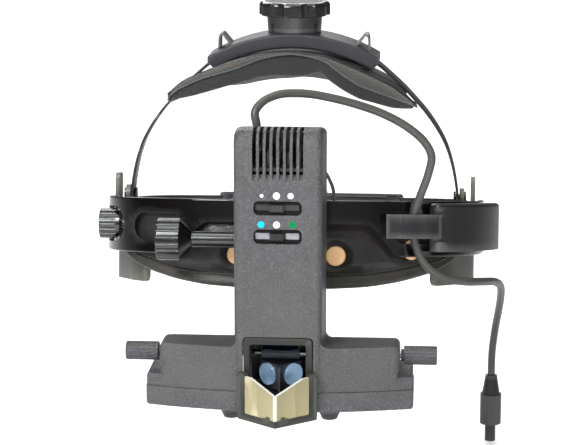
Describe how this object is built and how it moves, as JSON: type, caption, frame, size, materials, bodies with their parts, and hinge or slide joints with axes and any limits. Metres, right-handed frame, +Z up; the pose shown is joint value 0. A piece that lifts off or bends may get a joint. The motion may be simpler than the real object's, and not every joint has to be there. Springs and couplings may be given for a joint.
{
  "type": "head-worn binocular indirect ophthalmoscope",
  "caption": "Head-worn binocular indirect ophthalmoscope: tilting lamp tower with eyepiece housing and teaching mirror on an adjustable headband with crown strap and rear dial.",
  "frame": {"origin": "centre of the head opening, at the level of the headband", "axes": "+Z up, -Y is where the wearer looks (the optics side), +X is the wearer's left"},
  "size_m": [0.1971, 0.2934, 0.2362],
  "materials": {
    "casing": "fine grained moulded surface",
    "band_gloss": "polished",
    "dark_plastic": "satin",
    "bracket_grey": "matte",
    "frame_olive": "matte",
    "dark_metal": "turned, dark plated",
    "steel": "satin",
    "aluminium": "anodised",
    "black_anodised": "matte black",
    "brass": "satin",
    "lens_glass": "coated",
    "pane_glass": "half silvered",
    "blue_glass": "coloured",
    "green_glass": "coloured",
    "mirror": "front silvered",
    "leather": "grained",
    "knit": "knitted",
    "rubber": "matte",
    "cable": "satin",
    "stud_tan": "satin",
    "strap": "satin"
  },
  "bodies": {
    "headband": {"front_band": "band_gloss", "brow_pad": "leather", "pad_studs": "stud_tan", "tilt_bracket": "dark_plastic", "clamp_rod": "dark_metal", "temple_plates": "band_gloss", "band_rivets": "dark_metal", "temple_knob": "dark_metal", "junction_box": "dark_plastic", "cable_clip": "dark_plastic", "main_cable": "cable", "thin_lead": "cable", "power_plug": "dark_plastic"},
    "optics": {"optics_casing": "casing", "base_cover": "casing", "rear_cover": "casing", "cover_screws": "dark_metal", "window_bezel": "frame_olive", "guide_rods": "steel", "heat_sink": "black_anodised", "lamp_board": "aluminium", "condenser_tube": "black_anodised", "condenser_lens": "lens_glass", "projector_tube": "black_anodised", "projector_lens": "lens_glass", "slide_guide": "dark_plastic", "view_mirror_holder": "black_anodised", "view_mirrors": "mirror", "teaching_frame": "frame_olive", "teaching_panes": "pane_glass"},
    "aperture_control": {"aperture_slider": "dark_plastic"},
    "filter_control": {"filter_slider": "bracket_grey", "filter_glass_blue": "blue_glass", "filter_glass_green": "green_glass"},
    "beam_control": {"beam_shaft": "steel", "beam_knobs": "casing", "beam_mirror_holder": "black_anodised", "beam_mirror": "mirror"},
    "eyepiece_left": {"eyepiece_carriage_left": "dark_plastic", "fold_mirror_left": "mirror", "eyepiece_lens_left": "lens_glass", "eyecup_left": "rubber", "pd_knob_left": "dark_plastic"},
    "eyepiece_right": {"eyepiece_carriage_right": "dark_plastic", "fold_mirror_right": "mirror", "eyepiece_lens_right": "lens_glass", "eyecup_right": "rubber", "pd_knob_right": "dark_plastic"},
    "clamp": {"clamp_knob": "dark_metal"},
    "crown_hoop": {"crown_straps": "strap"},
    "crown_saddle": {"crown_bracket": "bracket_grey", "crown_plate": "band_gloss", "crown_pad": "knit", "strap_loops": "strap"},
    "crown_dial": {"crown_knob": "band_gloss"},
    "rear_loop": {"rear_arms": "strap"},
    "rear_carrier": {"rear_housing": "bracket_grey", "rear_pad": "leather"},
    "rear_dial": {"rear_knob": "band_gloss"}
  },
  "joints": [
    {"name": "optics_tilt", "type": "hinge", "parent": "headband", "child": "optics", "pos_m": [0, -0.1085, 0.0141], "axis": [-1, 0, 0], "range_deg": [-10, 20], "deforming": ["main_cable", "thin_lead"]},
    {"name": "aperture_slide", "type": "slide", "parent": "optics", "child": "aperture_control", "axis": [1, 0, 0], "range_m": [-0.006, 0.006]},
    {"name": "filter_slide", "type": "slide", "parent": "optics", "child": "filter_control", "axis": [1, 0, 0], "range_m": [-0.006, 0.006]},
    {"name": "beam_tilt", "type": "hinge", "parent": "optics", "child": "beam_control", "pos_m": [0, -0.134, -0.0316], "axis": [1, 0, 0], "range_deg": [-6, 6]},
    {"name": "pd_left", "type": "slide", "parent": "optics", "child": "eyepiece_left", "axis": [1, 0, 0], "range_m": [-0.007, 0.007]},
    {"name": "pd_right", "type": "slide", "parent": "optics", "child": "eyepiece_right", "axis": [-1, 0, 0], "range_m": [-0.007, 0.007]},
    {"name": "clamp_turn", "type": "hinge", "parent": "headband", "child": "clamp", "pos_m": [0, -0.1085, 0.0141], "axis": [-1, 0, 0], "continuous": true},
    {"name": "crown_swing", "type": "hinge", "parent": "headband", "child": "crown_hoop", "pos_m": [0, -0.04149, 0.02228], "axis": [1, 0, 0], "range_deg": [-12, 12]},
    {"name": "crown_height", "type": "slide", "parent": "crown_hoop", "child": "crown_saddle", "axis": [0, 0, 1], "range_m": [-0.008, 0.008], "deforming": ["crown_straps"]},
    {"name": "crown_dial_turn", "type": "hinge", "parent": "crown_saddle", "child": "crown_dial", "pos_m": [0, -0.042, 0.106], "axis": [0, 0, 1], "range_deg": [-80, 80]},
    {"name": "rear_tilt", "type": "hinge", "parent": "headband", "child": "rear_loop", "pos_m": [0, -0.01968, 0.00358], "axis": [1, 0, 0], "range_deg": [-10, 10]},
    {"name": "rear_size", "type": "slide", "parent": "rear_loop", "child": "rear_carrier", "axis": [0, 0.9839, -0.1788], "range_m": [-0.015, 0.01], "deforming": ["rear_arms"]},
    {"name": "rear_dial_turn", "type": "hinge", "parent": "rear_carrier", "child": "rear_dial", "pos_m": [0, 0.11163, -0.01775], "axis": [0, 0.9839, -0.1788], "range_deg": [-140, 100]}
  ],
  "couplings": [
    {"joint": "crown_dial_turn", "follows": "crown_height", "rad_per_m": 160},
    {"joint": "rear_dial_turn", "follows": "rear_size", "rad_per_m": 150}
  ]
}
